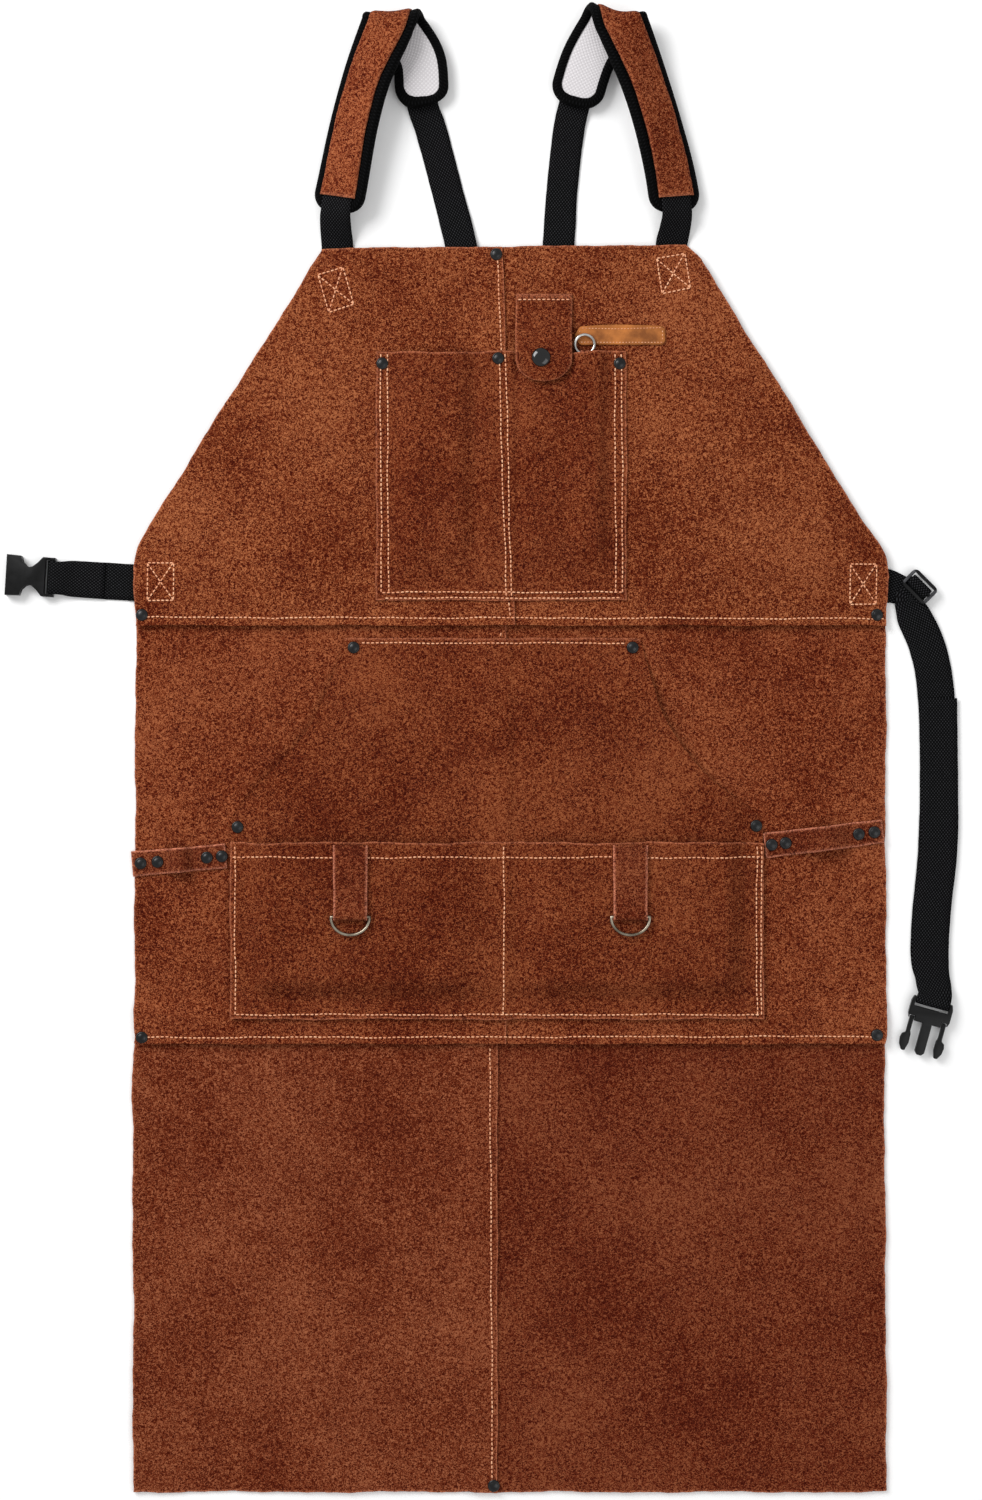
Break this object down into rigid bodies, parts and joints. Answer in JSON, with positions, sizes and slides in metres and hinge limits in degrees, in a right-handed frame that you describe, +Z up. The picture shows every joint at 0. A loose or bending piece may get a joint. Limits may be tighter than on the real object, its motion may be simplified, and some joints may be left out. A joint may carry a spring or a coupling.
{
  "type": "welding apron",
  "caption": "Suede welding apron laid flat, with bib, lapped panels, tool and hand pockets, padded shoulder straps, waist straps with a side-release buckle, and tool rings.",
  "frame": {"origin": "middle of the bounding box, on the surface that the apron lies on", "axes": "+X to the apron's right as seen from the front, +Y from the hem towards the shoulder straps, +Z up out of its front face"},
  "size_m": [0.761, 1.1878, 0.0307],
  "materials": {
    "suede": "matt napped split leather",
    "label_leather": "satin smooth leather",
    "webbing": "plain woven nylon",
    "binding": "ribbed tape",
    "lining": "soft brushed",
    "foam": "matt",
    "plastic": "moulded satin",
    "rivet": "gloss black",
    "steel": "polished",
    "antique_metal": "antique",
    "thread": "twisted thread"
  },
  "bodies": {
    "apron": {"bib_left": "suede", "bib_right": "suede", "middle_left": "suede", "middle_right": "suede", "skirt_left": "suede", "skirt_right": "suede", "chest_pocket": "suede", "hand_pocket": "suede", "tool_pocket": "suede", "hammer_loop_left": "suede", "hammer_loop_right": "suede", "snap_stud": "steel", "label": "label_leather", "ring_keeper": "suede", "ring_tab_left": "suede", "ring_tab_right": "suede", "shoulder_webbing_left": "webbing", "shoulder_webbing_right": "webbing", "pad_foam_left": "foam", "pad_lining_left": "lining", "pad_binding_left": "binding", "pad_leather_left": "suede", "pad_foam_right": "foam", "pad_lining_right": "lining", "pad_binding_right": "binding", "pad_leather_right": "suede", "waist_strap_left": "webbing", "waist_strap_right": "webbing", "strap_slider": "plastic", "rivet_bib_top": "rivet", "rivet_chest_left": "rivet", "rivet_chest_middle": "rivet", "rivet_chest_right": "rivet", "rivet_waist_left": "rivet", "rivet_waist_right": "rivet", "rivet_hand_top_left": "rivet", "rivet_hand_top_right": "rivet", "rivet_hand_side_left": "rivet", "rivet_hand_side_right": "rivet", "rivet_seam_left": "rivet", "rivet_seam_right": "rivet", "rivet_hem": "rivet", "rivet_left_loop_1": "rivet", "rivet_left_loop_2": "rivet", "rivet_left_loop_3": "rivet", "rivet_left_loop_4": "rivet", "rivet_right_loop_1": "rivet", "rivet_right_loop_2": "rivet", "rivet_right_loop_3": "rivet", "rivet_right_loop_4": "rivet"},
    "flap": {"snap_flap": "suede", "snap_cap": "rivet", "snap_socket": "steel"},
    "chest_ring": {"chest_ring": "steel"},
    "d_ring_left": {"d_ring_left": "antique_metal"},
    "d_ring_right": {"d_ring_right": "antique_metal"},
    "female_buckle": {"female_buckle": "plastic"},
    "male_buckle": {"male_buckle": "plastic"},
    "prong_left": {"buckle_prong_left": "plastic"},
    "prong_right": {"buckle_prong_right": "plastic"}
  },
  "joints": [
    {"name": "flap_lift", "type": "hinge", "parent": "apron", "child": "flap", "pos_m": [0.0494, 0.36369, 0.0065], "axis": [-1, 0, 0], "range_deg": [0, 150]},
    {"name": "chest_ring_swing", "type": "hinge", "parent": "apron", "child": "chest_ring", "pos_m": [0.082, 0.31534, 0.00855], "axis": [1, 0, 0], "range_deg": [0, 35]},
    {"name": "d_ring_left_swing", "type": "hinge", "parent": "apron", "child": "d_ring_left", "pos_m": [-0.1045, -0.13291, 0.0189], "axis": [-1, 0, 0], "range_deg": [0, 120]},
    {"name": "d_ring_right_swing", "type": "hinge", "parent": "apron", "child": "d_ring_right", "pos_m": [0.1181, -0.13291, 0.0189], "axis": [-1, 0, 0], "range_deg": [0, 120]},
    {"name": "female_buckle_swivel", "type": "hinge", "parent": "apron", "child": "female_buckle", "pos_m": [-0.3437, 0.13749, 0.0044], "axis": [0.0611, 0.9981, 0], "range_deg": [0, 80]},
    {"name": "male_buckle_swivel", "type": "hinge", "parent": "apron", "child": "male_buckle", "pos_m": [0.3601, -0.20231, 0.0044], "axis": [-0.9636, 0.2672, 0], "range_deg": [0, 80]},
    {"name": "prong_left_squeeze", "type": "hinge", "parent": "male_buckle", "child": "prong_left", "pos_m": [0.34322, -0.21382, 0.0044], "axis": [0, 0, 1], "range_deg": [0, 8], "stiffness_Nm_per_rad": 0.05},
    {"name": "prong_right_squeeze", "type": "hinge", "parent": "male_buckle", "child": "prong_right", "pos_m": [0.36866, -0.22087, 0.0044], "axis": [0, 0, 1], "range_deg": [-8, 0], "stiffness_Nm_per_rad": 0.05}
  ],
  "couplings": [
    {"joint": "prong_right_squeeze", "follows": "prong_left_squeeze", "ratio": -1}
  ]
}
